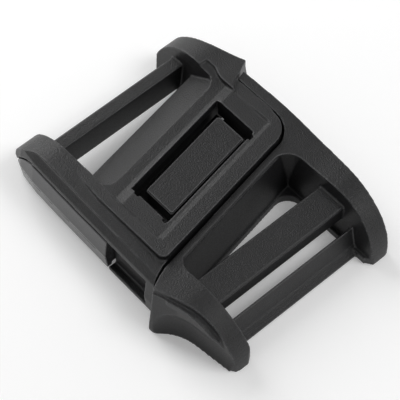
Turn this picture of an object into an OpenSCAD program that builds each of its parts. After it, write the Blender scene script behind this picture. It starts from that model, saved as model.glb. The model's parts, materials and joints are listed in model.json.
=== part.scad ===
// Two-half strap buckle for 25 mm webbing. The socket half carries one plain
// strap bar, a raised panel with a window and a sprung side lever. The plug half
// carries a flat bar and a ribbed bar, and its tongue lies under the socket's
// panel with the catch block standing in the window.
// The seam between the halves runs at a slant across the buckle, so pinching the
// two diagonal ears slides the halves along it until the catch is free.
// Origin: centre of the footprint on the resting plane. +X runs along the strap
// from the socket to the plug, +Y across it, +Z up. Millimetres.

/* [Overall] */
// Height of the raised panel at the seam
panel_h = 10.9; // [9.5:0.1:12]
// Height of the cheeks and of the plug's rail
cheek_h = 10.25; // [9:0.05:11]
// Half of the buckle's length along the strap
half_l = 26.6; // [24:0.1:30]
// Radius of the cheek ends, seen from the side
cheek_r = 10; // [7:0.5:12]
// Slant of the seam off the strap bars, in degrees
seam_deg = 10; // [0:1:15]

/* [Strap openings] */
// Half the opening between the cheeks at their top
open_top = 13.4; // [11:0.1:16]
// Half the opening between the cheeks at their foot
open_foot = 12.4; // [10:0.1:15]
// Left face of the socket's strap bar, from the centre
bar_a_x = -21.7; // [-23:0.1:-20]
// Width of the socket's strap bar
bar_a_w = 2.5; // [2:0.1:4]
// Left face of the plug's flat bar, from the centre
bar_b_x = 13.1; // [12:0.1:15]
// Width of the plug's flat bar
bar_b_w = 5.5; // [4:0.1:7]
// Left face of the plug's ribbed bar, from the centre
bar_c_x = 20.1; // [19.5:0.1:21]

/* [Window and catch] */
// Left edge of the window on the centre line
win_l = -6.58; // [-8:0.1:-5]
// Right edge of the window on the centre line
win_r = 1.95; // [1:0.1:3]
// Near and far ends of the window
win_y = [-10.1, 11.05]; // [-13:0.05:13]
// Left and right edges of the catch block on the centre line
pad_x = [-4.98, 1.05]; // [-8:0.05:3]
// Near and far ends of the catch block
pad_y = [-8.2, 9.65]; // [-12:0.05:12]
// Height of the top of the catch block
pad_h = 9.15; // [8:0.05:10]
// Height of the land between the window and the strap slot
land_h = 9.8; // [9:0.1:10.5]
// Height of the dished floor round the window
dish_h = 10.35; // [9.8:0.05:10.8]

/* [Lever] */
// Where the lever's pin stands, from the centre
pin_xy = [-19.6, -15.35]; // [-22:0.05:0]
// Radius of the lever's pin
pin_r = 0.75; // [0.5:0.05:1]
// Running clearance round the pin
pin_gap = 0.06; // [0.02:0.01:0.1]
// Height of the top of the lever
lever_h = 7.4; // [6:0.1:8]
// Free end of the lever
lever_end = -1.1; // [-3:0.1:1]

/* [Magnets] */
// Thickness of a magnet across the seam
mag_w = 3.4; // [2:0.1:4]
// Length of a magnet along the seam
mag_l = 9.4; // [6:0.1:11]
// Height of the socket's magnets
mag_a_h = 3.6; // [2:0.1:4.5]
// Height of the plug's magnets
mag_b_h = 2.4; // [1.5:0.1:2.8]

/* [Gaps] */
// Gap between the two halves along the seam
seam_gap = 0.36; // [0.3:0.02:0.6]
// Thickness of the cover plates underneath
cover_t = 0.8; // [0.6:0.1:1.2]

/* [Hidden] */
mid = [0.25, 0, 0];         // from the drawing's origin to the centre of the footprint
t = tan(seam_deg);
c = cos(seam_deg);
nylon = [0.235, 0.235, 0.245];
nylon_smooth = [0.30, 0.30, 0.31];
steel = [0.62, 0.62, 0.64];
magnet = [0.70, 0.70, 0.72];
seam_x = 6.06;              // right edge of the raised panel on the centre line
bay_x = -8.2;               // left wall of the bay that takes the plug's tongue
under = 6.6;                // underside of the panel's skirts
tongue_h = 6.2;             // top of the plug's tongue
bulge = 0.45;               // how far the socket's near wall swells at mid height
bulge_h = 3.8;              // height of that swelling
lip_h = 1.4;                // height of the lip round the foot of the plug's pocket

// A point on a line that follows the seam's slant and crosses y = 0 at x0.
function S(x0, y) = [x0 - t * y, y];

// An arc of n + 1 points.
function arc(o, r, a0, a1, n = 10) =
    [for (i = [0:n]) let (a = a0 + (a1 - a0) * i / n) [o[0] + r * cos(a), o[1] + r * sin(a)]];

// A polygon with each corner i rounded to the radius R[i].
function rounded(P, R, n = 6) =
    [for (i = [0:len(P) - 1])
        let (p = P[i], a = P[(i + len(P) - 1) % len(P)], b = P[(i + 1) % len(P)],
             u = (a - p) / norm(a - p), v = (b - p) / norm(b - p),
             h = acos(u * v) / 2,
             o = p + (u + v) / norm(u + v) * R[i] / sin(h),
             s = p + u * R[i] / tan(h), e = p + v * R[i] / tan(h),
             as = atan2(s[1] - o[1], s[0] - o[0]), ae = atan2(e[1] - o[1], e[0] - o[0]),
             d = ae - as > 180 ? ae - as - 360 : ae - as < -180 ? ae - as + 360 : ae - as)
        each (R[i] <= 0 ? [p] : [for (k = [0:n]) o + R[i] * [cos(as + d * k / n), sin(as + d * k / n)]])];

// A side section (x, z) run across the buckle from y0 to y1.
module across(P, y0 = -30, y1 = 30) {
    translate([0, y1, 0]) rotate([90, 0, 0]) linear_extrude(y1 - y0) polygon(P);
}

// An end section (y, z) run along the buckle from x0 to x1.
module along(P, x0, x1) {
    translate([x0, 0, 0]) rotate([90, 0, 90]) linear_extrude(x1 - x0) polygon(P);
}

// A slanted four-sided block with its short ends along X.
module slant(a, b, y0, y1, z0, z1) {
    translate([0, 0, z0]) linear_extrude(z1 - z0)
        polygon([S(a, y0), S(b, y0), S(b, y1), S(a, y1)]);
}

// A side section run along the seam's own direction.
module along_seam(P) {
    rotate([0, 0, seam_deg]) across([for (p = P) [p[0] * c, p[1]]], -32, 32);
}

// A square-ended block that lies along the seam.
module seam_block(x0, w, y0, l, z0, h) {
    rotate([0, 0, seam_deg]) translate([x0 * c, y0, z0]) cube([w, l, h]);
}

// The near outline of the socket, drawn in by o.
function near_edge(o) = [
    [-half_l + 0.5 * o, -12.2], [-26.6 + 0.6 * o, -14.4 + 0.2 * o], [-26.15 + 0.7 * o, -15.6 + 0.5 * o],
    [-25.2 + 0.7 * o, -16.6 + 0.8 * o], [-23.2, -17.4 + o], [-19.6, -17.9 + o], [-15, -18.1 + o],
    [-10, -18.25 + o], [0, -18.45 + o], [11.0, -18.6 + o]];

// Side section of the lever, and of its cavity: a round end of radius r under a flat top.
function lever_side(r, z) = concat([[-26.1, -2]], arc([-17, -0.8], r, 174, 110, 12), [[-17, z], [4, z], [4, -2]]);

// A wall between two inset copies of the near outline, at two heights.
module near_wall(z0, o0, z1, o1) {
    hull() {
        translate([0, 0, z0]) linear_extrude(0.01) polygon(concat(near_edge(o0), [[9.5, -12.2]]));
        translate([0, 0, z1 - 0.01]) linear_extrude(0.01) polygon(concat(near_edge(o1), [[9.5, -12.2]]));
    }
}

// Side sections: a round cheek end running into a gently sloping top.
function left_side(r, top_r) =
    concat([[-16.6 - r, -1]], arc([-16.6, cheek_h - cheek_r], r, 180, 90, 18),
           [[-13, cheek_h - cheek_r + r], [9, top_r], [12, top_r], [12, -1]]);
function right_side(r, z) =
    concat([[-30, -1], [-30, z + 0.1], [0, z + 0.05], [4, z - 0.25], [8, z - 0.4], [11, z - 0.35],
            [14, z - 0.1]],
           arc([16.1, z - r], r, 90, 4, 18), [[16.1 + r, 0.2], [16.1 + r, -1]]);
function ear_side(z) =
    concat([[-30, -1], [-30, z + 0.7], [-9, z + 0.7], [13, z]],
           arc([16.1, z - cheek_r], cheek_r, 90, 4, 18), [[26.1, 0.2], [26.1, -1]]);

// The top view of the raised panel and of the far cheek that runs on from it.
panel_top = concat(
    [[-17.4, -12.9], [-15.2, -13.7], [-12.4, -14.45], [-9.4, -15.0], [-6.1, -15.3]],
    arc([7.42, -14.2], 1.1, -90, 8, 5),
    [S(seam_x, 10.9)],
    arc([-0.35, 11.55], 4.35, 5, 90, 8),
    [[-1.3, 16.12], [-9.42, 16.12], [-9.42, 16.3], [-15.0, 16.3], [-17.4, 12.1]]);

// The top view of the cheek with the ear.
ear_top = [[9.28, -15.5], [9.95, -17.2], [10.96, -19.35], [12.05, -18.98], [13.8, -18.42],
           [16.26, -17.68], [18, -17.2], [20, -16.82], [22.2, -16.5], [24.2, -16.4], [25.3, -16.3],
           [25.9, -15.9], [26.1, -15.1], [26.1, -13.6], [25.0, -12.1], [8.0, -12.1], [8.0, -14.0]];

// The end tab that both diagonal ears carry below the step, widening to its foot.
module ear_tab() {
    hull() {
        linear_extrude(0.8)
            polygon([[9.95, -16], [10.3, -17.6], [11.35, -20.85], [12.35, -20.8], [13.7, -19.6],
                     [16, -18.5], [16, -14.5]]);
        translate([0, 0, 9.1]) linear_extrude(0.01)
            polygon([[9.95, -16], [10.3, -17.6], [11.05, -19.6], [12.1, -19.25], [13.8, -18.8],
                     [16, -18.2], [16, -14.5]]);
    }
}

// The finger scoop in an ear: a long hollow with a round end.
module ear_scoop() {
    translate([19.4, -25.9, 3.0]) rotate([0, 0, 7]) {
        sphere(r = 9, $fn = 96);
        rotate([0, 90, 0]) cylinder(r = 9, h = 12, $fn = 96);
    }
}

// Lower body of an ear and its cheek, stepped out below the top by one millimetre.
module ear_body(step = 1) {
    intersection() {
        union() {
            ear_tab();
            linear_extrude(9.1)
                polygon([[13.6, -19.1], [15.8, -18.5], [18.8, -17.95], [21.4, -17.55], [24, -17.3],
                         [25.0, -17.05], [25.5, -16.8], [25.9, -16.3], [25.9, -13.5], [24.8, -11.8],
                         [13.6, -11.8]]);
        }
        across(right_side(cheek_r - step, cheek_h - step));
    }
}

// Room over the slope beside the socket's slot, over the land and over the dished floor.
slope_side = [[-60, -1], [-14.8, -1], [-14.8, 6.3], [-9.27, land_h], [-7.4, 11], [-7.4, 14], [-60, 14]];
land_side = [[-30, land_h], [-7.4, land_h], [-5.6, dish_h + 0.01], [-5.6, 14], [-30, 14]];
dish_side = [[-5.7, dish_h], [2.7, dish_h], [4.7, 11.6], [4.7, 14], [-5.7, 14]];

// The strap openings' end section, widening upwards to near and far of the centre.
function opening_end(near, far, z) =
    [[-open_foot, -1], [-open_foot, 0], [-near, z], [-near, 14],
     [far, 14], [far, z], [open_foot, 0], [open_foot, -1]];

module socket_housing() color(nylon) translate(mid) difference() {
    union() {
        difference() {
            union() {
                intersection() {
                    across(left_side(cheek_r, 9.65));
                    union() {
                        near_wall(0, 0, bulge_h, -bulge);
                        near_wall(bulge_h, -bulge, 8.4, 0.15);
                        near_wall(8.4, 0.15, 9.66, 1.1);
                        near_wall(9.65, 1.1, 10.6, 1.12);
                    }
                }
                intersection() {
                    across(left_side(cheek_r, panel_h + 0.05));
                    linear_extrude(12) polygon(panel_top);
                }
                rotate([0, 0, 180]) {
                    ear_body();
                    translate([0, -0.15, 0]) intersection() {
                        across(ear_side(cheek_h + 0.5));
                        linear_extrude(12) polygon(ear_top);
                    }
                }
            }
            rotate([0, 0, 180]) ear_scoop();
            // Strap opening, its sloping side and the land.
            intersection() {
                along(opening_end(13.0, open_top, 9), -40, 20);
                along_seam(slope_side);
                linear_extrude(14)
                    polygon(rounded([[-40, -15], S(-9.4, -13.0), S(-9.2, open_top), [-40, 18]],
                                    [0, 2.4, 3.4, 0], 7));
            }
            // Land beside the window, ramping up to the dished floor at both ends,
            // and up to the far cheek where the strap opening's corner rounds.
            intersection() {
                along_seam(land_side);
                linear_extrude(14)
                    polygon([[-10.6, -13.0], [-4, -13.3], [2, -13.3], [2, 9.05], [-14, 9.05], [-10, -9.4]]);
            }
            intersection() {
                along_seam(land_side);
                across([[-15.4, cheek_h + 0.12], [-10.7, land_h + 0.01], [0, land_h + 0.01], [0, 14],
                        [-15.4, 14]], 9, 16);
                linear_extrude(14)
                    polygon([[2, 9], [2, 14.1], [-10.8, 14.1], [-12.1, 14.35], [-13.3, 14.9], [-15.4, 14.9],
                             [-15.4, 13.0], [-14, 9]]);
            }
            // Dished floor round the window.
            intersection() {
                along_seam(dish_side);
                linear_extrude(14)
                    polygon(rounded([[-12, -13.3], [7.2, -13.3], S(4.7, 14.1), [-12, 14.1]], [0, 2.2, 3.2, 0], 7));
            }
        }
        // Strap bar.
        translate([bar_a_x, 0, 0])
            across([[0.3, 1.4], [bar_a_w - 0.15, 1.4], [bar_a_w, 1.6], [bar_a_w, 6.85],
                    [bar_a_w - 0.15, 7], [0.3, 7], [0, 6.7], [0, 1.7]], -13.2, 13.9);
    }
    // Window.
    slant(win_l, win_r, win_y[0], win_y[1], -1, 14);
    // Relief notches in the window's corners.
    slant(win_r - 0.1, win_r + 0.55, win_y[1] - 1.5, win_y[1] - 0.5, -1, 14);
    slant(win_r - 1.0, win_r - 0.1, win_y[0] - 0.45, win_y[0] + 0.1, -1, 14);
    slant(win_l + 0.9, win_l + 2.0, win_y[0] - 0.35, win_y[0] + 0.1, -1, 14);
    // Bay for the plug's tongue: open below, to the seam and to the far side.
    translate([0, 0, -1]) linear_extrude(under + 1)
        polygon([S(bay_x, -12.75), [14, -12.75], [14, 25], [-8.9, 25], [-8.9, 15.2], S(bay_x, 15.2)]);
    slant(bay_x + 0.02, win_l + 0.2, -12.6, 13.2, -0.9, 8.2);
    slant(win_l + 0.1, 5.0, win_y[0] + 0.02, win_y[1] - 0.02, -0.8, 8.21);
    // The end beside the plug's ear.
    translate([0, 0, -2]) linear_extrude(20)
        polygon([S(seam_x + 0.02, -10), [8.8, -15.5], [9.55, -17.2], [10.15, -18.6], [11, -20.6],
                 [16, -20.6], [16, -10]]);
    // Magnet chamber, open below.
    difference() {
        slant(-13.9, bay_x - 0.9, -11.2, 11.6, -1, 12);
        along_seam([[-14.9, 4.9], [-9, 7.5], [-8, 14], [-15, 14]]);
        slant(-14.5, -8, -0.6, 0.6, cover_t, 12);
    }
    // Seats of the cover plate.
    magnet_cover_plan(0.03);
    lever_cover_plan(0.03);
    // Lever cavity with its rounded upper corner, and its stepped recess past the free end.
    intersection() {
        linear_extrude(12)
            polygon([[-26.3, -22], [-26.3, -15.4], [-24.6, -14.9], [-22.0, -14.2], [-21.2, -13.7], [-18.0, -13.7],
                     [-17.0, -14.1], [-0.75, -13.95], [lever_end + 0.12, -22]]);
        across(lever_side(9.0, lever_h + 0.3));
    }
    difference() {
        translate([lever_end, -25, 0.85]) cube([8.2 - lever_end, 25 - 17.1, 6.75]);
        translate([lever_end - 0.01, -17.6, 0.84]) rotate([-40, 0, 0]) translate([0, 0, -3]) cube([20, 3, 3]);
    }
    // Opening for the lever's nose.
    translate([-4.0, -14.2, 2.2]) cube([3.0, 2.0, 3.0]);
    // Upper seat of the lever's pin.
    translate([pin_xy[0], pin_xy[1], 2]) cylinder(r = pin_r, h = 6.6, $fn = 32);
}

module magnet_cover_plan(g) {
    slant(-14.15 - g, -8.75 + g, -11.9 - g, 12.2 + g, -1, cover_t);
}

module lever_cover_plan(g) {
    translate([0, 0, -1]) linear_extrude(cover_t + 1)
        polygon([[-24.2 - g, -16.2 - g], [-21, -16.6 - g], [-15, -16.9 - g], [lever_end - 0.4, -16.2 - g],
                 [lever_end - 0.4, -13.4 + g], [-22.5 - g, -13.4 + g]]);
}

module magnet_cover() color(nylon) translate(mid) intersection() {
    magnet_cover_plan(0);
    translate([-40, -30, 0]) cube([80, 60, 20]);
}

module lever_cover() color(nylon) translate(mid) difference() {
    intersection() {
        lever_cover_plan(0);
        translate([-40, -30, 0]) cube([80, 60, 20]);
    }
    translate([pin_xy[0], pin_xy[1], -2]) cylinder(r = pin_r, h = 6, $fn = 32);
}

module socket_magnet_near() color(magnet)
    translate(mid) seam_block(-13.25, mag_w, -8.9, mag_l, cover_t + 0.05, mag_a_h);

module socket_magnet_far() color(magnet)
    translate(mid) seam_block(-13.25, mag_w, 3.4, mag_l, cover_t + 0.05, mag_a_h);

module release_lever() color(nylon_smooth) translate(mid) difference() {
    union() {
        intersection() {
            union() {
                near_wall(0.35, -0.05, bulge_h, -bulge - 0.01);
                near_wall(bulge_h, -bulge - 0.01, 8.4, 0.14);
            }
            linear_extrude(lever_h)
                polygon([[-26.3, -22], [-25.9, -15.75], [-24.6, -15.25], [-22.4, -15.2], [-17, -15.85],
                         [-10, -16.15], [lever_end, -16.4], [lever_end, -22]]);
            across(lever_side(8.7, lever_h));
        }
        translate([pin_xy[0], pin_xy[1], cover_t + 0.25])
            cylinder(r = 1.45, h = lever_h - cover_t - 0.75, $fn = 48);
        // Nose that reaches through the wall to the plug's tongue.
        translate([-3.5, -16.4, 2.6]) cube([1.9, 3.2, 2.2]);
    }
    // Foot cut back over the cover plate.
    translate([0, 0, -1]) linear_extrude(cover_t + 1.25)
        polygon([[-24.6, -16.55], [-21, -16.95], [-15, -17.3], [lever_end + 1, -17.55],
                 [lever_end + 1, -12], [-24.6, -12]]);
    translate([pin_xy[0], pin_xy[1], -1]) cylinder(r = pin_r + pin_gap, h = 12, $fn = 48);
    // Parting groove along the lever's face.
    difference() {
        translate([-23, -22, 3.1]) cube([23 + lever_end, 6, 0.24]);
        translate([0, 0, 3]) linear_extrude(0.5) polygon(concat(near_edge(-0.26), [[9.5, -12.2]]));
    }
}

module lever_pin() color(steel)
    translate(mid) translate([pin_xy[0], pin_xy[1], 0]) cylinder(r = pin_r, h = 8.55, $fn = 32);

// A leaf bent into a shallow V between the lever's back and the housing's wall.
module lever_spring() color(steel) translate(mid) translate([0, 0, 2.2]) linear_extrude(3.6)
    polygon([[-14.2, -14.42], [-13.6, -14.22], [-9.8, -15.75], [-6.0, -14.22], [-5.4, -14.42],
             [-5.5, -14.66], [-6.0, -14.5], [-9.55, -15.95], [-10.05, -15.95], [-13.6, -14.5],
             [-14.1, -14.66]]);

module plug_frame() color(nylon) translate(mid) difference() {
    union() {
        difference() {
            union() {
                // Cheeks, rail and the strip along the seam.
                intersection() {
                    across(right_side(cheek_r, cheek_h));
                    linear_extrude(12) polygon(concat(
                        [for (k = [0:14]) ear_top[k]],
                        [[24.9, 12.1], [26.1, 12.9], [26.1, 15.4], [25.9, 16.05], [25.2, 16.4],
                         [23.5, 16.7], [21.7, 16.85], [18.2, 17.2], [14.1, 17.65], [10.2, 18.0],
                         [3, 18.3], [-2.7, 18.25], [-9.85, 18.0], [-9.25, 16.25]],
                        arc([-0.35, 11.55], 4.35 + seam_gap, 90, 5, 8),
                        [S(seam_x + seam_gap, 10.9)]));
                }
                ear_body();
                // Tongue and foot under the socket's panel.
                linear_extrude(tongue_h)
                    polygon([S(-5.15, -12.2), [9.0, -12.2], [9.0, 0], [6, 17], S(-5.15, 17)]);
                slant(-7.7, -5, -12.2, 12.2, 0, 4.0);
            }
            ear_scoop();
            // Opening from the pocket to the strap end.
            intersection() {
                along(opening_end(open_top, open_top, 9.5), 0, 40);
                along_seam([[9.35, -1], [9.2, 0], [7.9, 9.4], [7.4, 9.95], [7.3, 14], [50, 14], [50, -1]]);
                union() {
                    translate([0, 0, lip_h]) linear_extrude(14)
                        polygon(rounded([S(7.5, -13.4), [40, -13.4], [40, 13.4], S(7.5, 13.4)], [2.4, 0, 0, 3.0], 7));
                    translate([0, 0, -1]) linear_extrude(lip_h + 1.01)
                        polygon(rounded([S(9.3, -12.6), [40, -12.6], [40, 11.9], S(9.3, 11.9)], [2.0, 0, 0, 2.6], 7));
                }
            }
        }
        // Flat bar.
        translate([bar_b_x, 0, 0])
            across([[0.3, 4.6], [bar_b_w - 0.3, 4.6], [bar_b_w, 4.9], [bar_b_w, 7.4],
                    [bar_b_w - 0.3, 7.7], [0.3, 7.7], [0, 7.4], [0, 4.9]], -13.3, 13.3);
        // Ribbed bar: a steep face that ends in fine ribs.
        translate([bar_c_x, 0, 0])
            across([[0, 0.4], [0.1, 3.8], [0.8, 5.0], [1.8, 1.75], [2.15, 1.62], [2.08, 1.4], [2.45, 1.25],
                    [2.38, 1.03], [2.75, 0.88], [2.68, 0.66], [3.05, 0.5], [3.0, 0.15], [0.3, 0.15]],
                   -13.0, 13.0);
    }
    // Magnet chamber and the seat of its cover.
    slant(-7.35, -3.55, -11.4, -0.4, -1, 3.4);
    slant(-7.35, -3.55, 0.4, 11.4, -1, 3.4);
    plug_cover_plan(0.03);
    // Notch that the lever's nose swings in.
    translate([-4.4, -13, 1.9]) cube([3.6, 1.9, 9]);
    // Peg holes of the catch block.
    for (y = [-5, 6]) translate([S(-0.9, y)[0], y, 3.4]) cylinder(r = 1.02, h = 6, $fn = 32);
}

module plug_cover_plan(g) {
    slant(-7.45 - g, -3.1 + g, -11.7 - g, 11.7 + g, -1, cover_t);
}

module plug_cover() color(nylon) translate(mid) intersection() {
    plug_cover_plan(0);
    translate([-40, -30, 0]) cube([80, 60, 20]);
}

module plug_magnet_near() color(magnet)
    translate(mid) seam_block(-7.15, mag_w, -10.15, mag_l, cover_t + 0.05, mag_b_h);

module plug_magnet_far() color(magnet)
    translate(mid) seam_block(-7.15, mag_w, 1.9, mag_l, cover_t + 0.05, mag_b_h);

// Plan of the catch block, drawn in by o, with its far left corner rounded more.
module pad_plan(o, r, far_r) {
    polygon(rounded([S(pad_x[0] + o, pad_y[0] + o), S(pad_x[1] - o, pad_y[0] + o),
                     S(pad_x[1] - o, pad_y[1] - o), S(pad_x[0] + o, pad_y[1] - o)],
                    [r, r, r, far_r], 4));
}

module catch_block() color(nylon) translate(mid) union() {
    translate([0, 0, tongue_h]) linear_extrude(pad_h - tongue_h - 0.3) pad_plan(0, 0.3, 0.5);
    translate([0, 0, pad_h - 0.3]) linear_extrude(0.3) pad_plan(0.12, 0.25, 0.45);
    for (y = [-5, 6]) translate([S(-0.9, y)[0], y, 3.5]) cylinder(r = 1.0, h = 3, $fn = 32);
}

socket_housing();
magnet_cover();
lever_cover();
socket_magnet_near();
socket_magnet_far();
release_lever();
lever_pin();
lever_spring();
plug_frame();
catch_block();
plug_magnet_near();
plug_magnet_far();
plug_cover();
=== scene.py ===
# %% [markdown]
# # A two-half strap buckle in grained black nylon
# The real thing is an injection-moulded buckle for 25 mm webbing. Its exact shapes come
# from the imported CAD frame, so this lesson never moves or reshapes a part. It gives each
# part the two things that CAD leaves out: the small radius that every moulded edge has,
# and the surface that the mould leaves on the plastic.

# %% Load the frame
import json
import math

import bpy
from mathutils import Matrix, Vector


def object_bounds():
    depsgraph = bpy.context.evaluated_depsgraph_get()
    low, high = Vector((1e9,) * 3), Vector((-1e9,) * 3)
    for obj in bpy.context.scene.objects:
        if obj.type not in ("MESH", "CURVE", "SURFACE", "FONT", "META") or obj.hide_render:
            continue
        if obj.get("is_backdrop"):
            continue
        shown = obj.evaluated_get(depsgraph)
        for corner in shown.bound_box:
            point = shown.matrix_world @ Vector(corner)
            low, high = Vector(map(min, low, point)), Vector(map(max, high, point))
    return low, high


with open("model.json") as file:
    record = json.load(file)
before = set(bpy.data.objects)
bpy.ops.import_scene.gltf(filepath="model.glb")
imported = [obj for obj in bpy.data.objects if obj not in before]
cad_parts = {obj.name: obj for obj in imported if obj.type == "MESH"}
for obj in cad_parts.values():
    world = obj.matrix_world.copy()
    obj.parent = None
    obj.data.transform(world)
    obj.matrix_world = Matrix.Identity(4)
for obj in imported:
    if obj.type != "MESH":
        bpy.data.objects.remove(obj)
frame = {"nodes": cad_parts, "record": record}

cad_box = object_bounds()
MM = 0.001
nodes = frame["nodes"]
print("parts:", ", ".join(sorted(nodes)))
print("size in mm:", [round(side / MM, 2) for side in cad_box[1] - cad_box[0]])

# %% [markdown]
# ## Moulded edges
# A mould is cut with a round tool and the plastic shrinks back from its corners, so no edge
# of the real buckle is sharp: each one shows a thin line of light. A Bevel modifier is the
# usual way to round edges, but it fails where many short edges meet, as on these curved
# walls. So the shells are rebuilt from tiny voxels, which cuts each corner by about a
# voxel, and then smoothed, which turns the cut into a radius. Both are modifiers, so the
# frame's own mesh isn't touched. Flat ground needs few faces, so a Decimate modifier
# gives most of them back.

# %% Round the edges of the shells
VOXEL = 0.13 * MM


def mould_edges(node_name, smoothing, keep):
    """Gives a part with many small faces the soft edges of a moulding."""
    part = nodes[node_name]
    cells = part.modifiers.new("cells", "REMESH")
    cells.mode = "VOXEL"
    cells.voxel_size = VOXEL
    cells.use_smooth_shade = True
    soften = part.modifiers.new("soften", "SMOOTH")
    soften.factor = 0.5
    soften.iterations = smoothing
    part.modifiers.new("thin out", "DECIMATE").ratio = keep
    print(node_name, "is rebuilt from cells of", round(VOXEL / MM, 2), "mm")


mould_edges("socket_housing", smoothing=3, keep=0.3)
mould_edges("plug_frame", smoothing=3, keep=0.3)
mould_edges("release_lever", smoothing=3, keep=0.4)

# %% [markdown]
# ## Plates, magnets, pin and spring
# These have few, long edges, so here the Bevel modifier works well. The faces of a glTF
# file don't share their corners, so a Weld modifier joins them first, or the bevel would
# see only open edges.

# %% Round the edges of the small parts


def ease_edges(node_name, width):
    """Rounds the edges of a part that has few faces."""
    part = nodes[node_name]
    part.modifiers.new("join corners", "WELD").merge_threshold = 0.001 * MM
    ease = part.modifiers.new("ease edges", "BEVEL")
    ease.width = width
    ease.segments = 3
    ease.limit_method = "ANGLE"
    ease.angle_limit = math.radians(35)
    even = part.modifiers.new("even shading", "WEIGHTED_NORMAL")
    even.keep_sharp = True
    print(node_name, "edges eased by", round(width / MM, 2), "mm")


for plate in ("magnet_cover", "lever_cover", "plug_cover"):
    ease_edges(plate, 0.12 * MM)
for block in ("socket_magnet_near", "socket_magnet_far", "plug_magnet_near", "plug_magnet_far"):
    ease_edges(block, 0.2 * MM)
ease_edges("catch_block", 0.08 * MM)
ease_edges("lever_pin", 0.12 * MM)
ease_edges("lever_spring", 0.04 * MM)

# %% [markdown]
# ## Grained nylon
# The mould's faces were spark-eroded, which leaves a grain of pits about a fifth of a
# millimetre across. The grain scatters light, so the tops look dark grey and dusty, with
# tiny bright points. Walls that slide out of the mould can't be grained so deeply and are
# darker and smoother. One material does both: the grain's height is mixed down where the
# surface stands upright. The edges are painted paler, a painted highlight for the thin line
# of light on each rounded edge, and made glossier. A Bevel node finds the edges: it averages
# the directions that the surface faces within a small radius, and near an edge that average
# differs from the direction at the point itself.

# %% Small helpers for node materials
# A Mix node has a pair of inputs for each kind of data: these are the places of the colours.
MIX_COLOUR_INPUTS = (6, 7)
MIX_COLOUR_OUTPUT = 2


def new_material(name):
    """A material with an empty tree that ends in a Principled shader."""
    made = bpy.data.materials.new(name)
    made.use_nodes = True
    tree = made.node_tree
    return made, tree, tree.nodes["Principled BSDF"]


def noise(tree, size, detail, roughness=0.5):
    """A noise whose spots are about size across, in the part's own coordinates."""
    place = tree.nodes.new("ShaderNodeTexCoord")
    made = tree.nodes.new("ShaderNodeTexNoise")
    made.inputs["Scale"].default_value = 1 / size
    made.inputs["Detail"].default_value = detail
    made.inputs["Roughness"].default_value = roughness
    tree.links.new(place.outputs["Object"], made.inputs["Vector"])
    return made.outputs["Fac"]


def scaled(tree, value, low, high, to_low, to_high):
    """A value moved from one range to another, and held inside it."""
    made = tree.nodes.new("ShaderNodeMapRange")
    made.inputs["From Min"].default_value = low
    made.inputs["From Max"].default_value = high
    made.inputs["To Min"].default_value = to_low
    made.inputs["To Max"].default_value = to_high
    tree.links.new(value, made.inputs["Value"])
    return made.outputs["Result"]


def maths(tree, operation, *values):
    """Two or three values combined. Each is a socket or a number."""
    made = tree.nodes.new("ShaderNodeMath")
    made.operation = operation
    for socket, value in zip(made.inputs, values):
        if isinstance(value, (int, float)):
            socket.default_value = value
        else:
            tree.links.new(value, socket)
    return made.outputs[0]


def colour_between(tree, value, dark, light):
    """A colour between two others, each a socket or a colour, as the value runs from 0 to 1."""
    made = tree.nodes.new("ShaderNodeMix")
    made.data_type = "RGBA"
    for place, colour in zip(MIX_COLOUR_INPUTS, (dark, light)):
        if isinstance(colour, tuple):
            made.inputs[place].default_value = (*colour, 1)
        else:
            tree.links.new(colour, made.inputs[place])
    tree.links.new(value, made.inputs["Factor"])
    return made.outputs[MIX_COLOUR_OUTPUT]


def raised(tree, height, distance):
    """A bump from a height."""
    made = tree.nodes.new("ShaderNodeBump")
    made.inputs["Distance"].default_value = distance
    tree.links.new(height, made.inputs["Height"])
    return made.outputs["Normal"]


# %% Mix the grained nylon
GRAIN_SIZE = 0.22 * MM
CLOUD_SIZE = 7 * MM
EDGE_RADIUS = 0.35 * MM
# A pale colour painted on the edges: a painted highlight for the thin line of light on each
# rounded edge.
EDGE_HIGHLIGHT_PAINT = (0.10, 0.10, 0.103)


def edge_mask(tree):
    """A value that is 1 on edges and 0 away from them."""
    average = tree.nodes.new("ShaderNodeBevel")
    average.samples = 4
    average.inputs["Radius"].default_value = EDGE_RADIUS
    here = tree.nodes.new("ShaderNodeNewGeometry")
    alike = tree.nodes.new("ShaderNodeVectorMath")
    alike.operation = "DOT_PRODUCT"
    tree.links.new(average.outputs["Normal"], alike.inputs[0])
    tree.links.new(here.outputs["Normal"], alike.inputs[1])
    return scaled(tree, alike.outputs["Value"], 0.99, 0.93, 0, 1)


def flat_mask(tree):
    """A value that is 1 on level faces and small on upright ones."""
    facing = tree.nodes.new("ShaderNodeTexCoord")
    apart = tree.nodes.new("ShaderNodeSeparateXYZ")
    tree.links.new(facing.outputs["Normal"], apart.inputs[0])
    level = maths(tree, "ABSOLUTE", apart.outputs["Z"])
    return scaled(tree, level, 0.15, 0.6, 0.15, 1.0)


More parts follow.
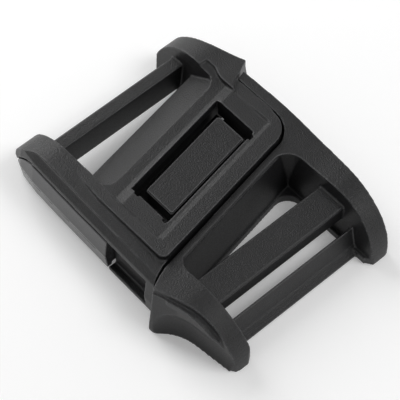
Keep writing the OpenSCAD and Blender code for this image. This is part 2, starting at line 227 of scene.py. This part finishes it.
def nylon(name, grain_depth, dark, light, roughness, shine):
    """Black nylon, grained where it faces up or down and smoother where it stands upright."""
    made, tree, shader = new_material(name)
    grain = noise(tree, GRAIN_SIZE, detail=2.0, roughness=0.6)
    cloud = noise(tree, CLOUD_SIZE, detail=3.0)
    speck = scaled(tree, grain, 0.3, 0.72, 0, 1)
    fine = maths(tree, "MULTIPLY", speck, 0.55)
    broad = maths(tree, "MULTIPLY", cloud, 0.45)
    tone = maths(tree, "ADD", fine, broad)
    edge = edge_mask(tree)
    plain = colour_between(tree, tone, dark, light)
    # The edges get the painted highlight colour over the grain.
    tree.links.new(colour_between(tree, edge, plain, EDGE_HIGHLIGHT_PAINT), shader.inputs["Base Color"])
    gloss = scaled(tree, speck, 0, 1, roughness + 0.06, roughness - 0.08)
    tree.links.new(maths(tree, "MULTIPLY_ADD", edge, -0.1, gloss), shader.inputs["Roughness"])
    height = maths(tree, "MULTIPLY", grain, flat_mask(tree))
    tree.links.new(raised(tree, height, grain_depth), shader.inputs["Normal"])
    shader.inputs["Specular IOR Level"].default_value = shine
    return made


grained_nylon = nylon(
    "grained nylon",
    grain_depth=0.10 * MM,
    dark=(0.001, 0.001, 0.0011),
    light=(0.018, 0.018, 0.0192),
    roughness=0.42,
    shine=0.42,
)
# The lever's smoothness is real. Its colours are lighter than the grained nylon's, and that
# extra lightness is a painted reflection of the bright floor on its side.
smooth_nylon_painted_reflection = nylon(
    "smooth nylon with painted reflection",
    grain_depth=0.012 * MM,
    dark=(0.026, 0.026, 0.027),
    light=(0.038, 0.038, 0.040),
    roughness=0.2,
    shine=0.55,
)
print("mixed", grained_nylon.name, "and", smooth_nylon_painted_reflection.name)

# %% [markdown]
# ## Steel and magnets
# The pin and the spring are drawn steel, with fine lines along the metal. The magnets are
# nickel-plated: bright, with a soft ripple and small dull handling marks.

# %% Mix the metals


def metal(name, colour, roughness, stretch):
    """A bright metal with fine lines along one axis and a few dull marks."""
    made, tree, shader = new_material(name)
    place = tree.nodes.new("ShaderNodeTexCoord")
    pull = tree.nodes.new("ShaderNodeMapping")
    pull.inputs["Scale"].default_value = stretch
    lines = tree.nodes.new("ShaderNodeTexNoise")
    lines.inputs["Scale"].default_value = 1 / (0.15 * MM)
    lines.inputs["Detail"].default_value = 3
    tree.links.new(place.outputs["Object"], pull.inputs["Vector"])
    tree.links.new(pull.outputs["Vector"], lines.inputs["Vector"])
    marks = noise(tree, 1.8 * MM, detail=4)
    dull = scaled(tree, marks, 0.45, 0.7, roughness, roughness + 0.2)
    tree.links.new(dull, shader.inputs["Roughness"])
    shade = tuple(0.8 * part for part in colour)
    tint = colour_between(tree, lines.outputs["Fac"], shade, colour)
    tree.links.new(tint, shader.inputs["Base Color"])
    tree.links.new(raised(tree, lines.outputs["Fac"], 0.004 * MM), shader.inputs["Normal"])
    shader.inputs["Metallic"].default_value = 1.0
    return made


drawn_steel = metal("drawn steel", (0.62, 0.62, 0.64), 0.22, (1.0, 1.0, 0.06))
nickel_plate = metal("nickel plate", (0.72, 0.70, 0.66), 0.16, (1.0, 1.0, 1.0))
print("mixed", drawn_steel.name, "and", nickel_plate.name)

# %% Give each part its finish
FINISHES = {
    "nylon": grained_nylon,
    "nylon_lever": smooth_nylon_painted_reflection,
    "steel": drawn_steel,
    "magnet": nickel_plate,
}
for made_of in frame["record"]["subparts"]:
    part = nodes[made_of["node"]]
    part.data.materials.clear()
    part.data.materials.append(FINISHES[made_of["material_slot"]])
    print(made_of["node"], "is", part.data.materials[0].name)

# %% [markdown]
# ## A white sweep and soft light
# A product of black plastic is shown on white: the floor itself lights the side walls from
# below, and here the paper also glows a little, which keeps the shadows open. The floor is a
# round sheet whose rim curls up, so it has no horizon. One softbox on the left gives the
# tops their sheen and throws the shadow to the right. A second, high behind and to the
# right, puts light on the bends over the cheek ends.

# %% Lay the floor
CURL_START = 0.55
CURL_RADIUS = 0.3


def floor_sheet():
    """A round floor whose rim curls up, made as rings of points."""
    turns = 64
    profile = [(0.0, 0.0), (0.1, 0.0), (0.25, 0.0), (CURL_START, 0.0)]
    profile += [
        (CURL_START + CURL_RADIUS * math.sin(bend), CURL_RADIUS * (1 - math.cos(bend)))
        for bend in (math.radians(6 * step) for step in range(1, 16))
    ]
    angles = [2 * math.pi * turn / turns for turn in range(turns)]
    points = [
        (reach * math.cos(angle), reach * math.sin(angle), lift)
        for reach, lift in profile[1:]
        for angle in angles
    ]
    faces = [tuple(range(turns))]
    for ring in range(len(profile) - 2):
        for turn in range(turns):
            here, there = ring * turns + turn, ring * turns + (turn + 1) % turns
            faces.append((here, here + turns, there + turns, there))
    mesh = bpy.data.meshes.new("floor")
    mesh.from_pydata(points, [], faces)
    made = bpy.data.objects.new("floor", mesh)
    made.data.shade_smooth()
    bpy.context.scene.collection.objects.link(made)
    return made


floor = floor_sheet()
paper, paper_tree, paper_shader = new_material("white paper")
paper_shader.inputs["Base Color"].default_value = (0.89, 0.89, 0.89, 1)
paper_shader.inputs["Roughness"].default_value = 0.9
paper_shader.inputs["Specular IOR Level"].default_value = 0.2
paper_shader.inputs["Emission Color"].default_value = (1.0, 1.0, 1.0, 1)
paper_shader.inputs["Emission Strength"].default_value = 0.17
floor.data.materials.append(paper)
floor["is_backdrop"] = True
print("floor reaches", round(CURL_START + CURL_RADIUS, 2), "m")

# %% Hang the softboxes


def softbox(name, towards, reach, side, power):
    """A square lamp in a direction from the buckle, turned to face it."""
    lamp = bpy.data.lights.new(name, "AREA")
    lamp.shape = "SQUARE"
    lamp.size = side
    lamp.energy = power
    made = bpy.data.objects.new(name, lamp)
    direction = Vector(towards).normalized()
    made.location = direction * reach
    made.rotation_mode = "QUATERNION"
    made.rotation_quaternion = direction.to_track_quat("Z", "Y")
    bpy.context.scene.collection.objects.link(made)
    print(name, "hangs", round(made.location.z, 2), "m up")


softbox("key softbox", (-0.9, 0.05, 0.60), 0.45, 0.28, 1.2)
softbox("edge softbox", (0.5, 0.37, 0.77), 0.8, 0.35, 2.0)

room = bpy.data.worlds.new("room")
room.use_nodes = True
room.node_tree.nodes["Background"].inputs["Color"].default_value = (1.0, 1.0, 1.0, 1)
room.node_tree.nodes["Background"].inputs["Strength"].default_value = 0.35
bpy.context.scene.world = room
bpy.context.scene.view_settings.view_transform = "Standard"

# %% [markdown]
# ## The camera
# A long lens from well above the near right corner keeps the two halves almost parallel,
# as a product shot does. Azimuth turns the camera round the buckle from straight in front,
# and elevation lifts it above the floor.

# %% Set up the camera
AZIMUTH = math.radians(48.29)
ELEVATION = math.radians(56.48)
DISTANCE = 0.324
back = Vector((
    math.sin(AZIMUTH) * math.cos(ELEVATION),
    -math.cos(AZIMUTH) * math.cos(ELEVATION),
    math.sin(ELEVATION),
))
aim = Vector((-0.842, 0.798, 0)) * MM
lens = bpy.data.cameras.new("camera")
lens.lens = 182.6
lens.sensor_width = 36
camera = bpy.data.objects.new("camera", lens)
camera.location = aim + back * DISTANCE
camera.rotation_mode = "QUATERNION"
camera.rotation_quaternion = (-back).to_track_quat("-Z", "Y")
bpy.context.scene.collection.objects.link(camera)
bpy.context.scene.camera = camera
print("camera stands", round(camera.location.z, 3), "m up")

# %% Measure the size after rounding
looks_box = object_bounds()
growth = (looks_box[1] - looks_box[0]) - (cad_box[1] - cad_box[0])
print("growth in mm:", [round(side / MM, 2) for side in growth])
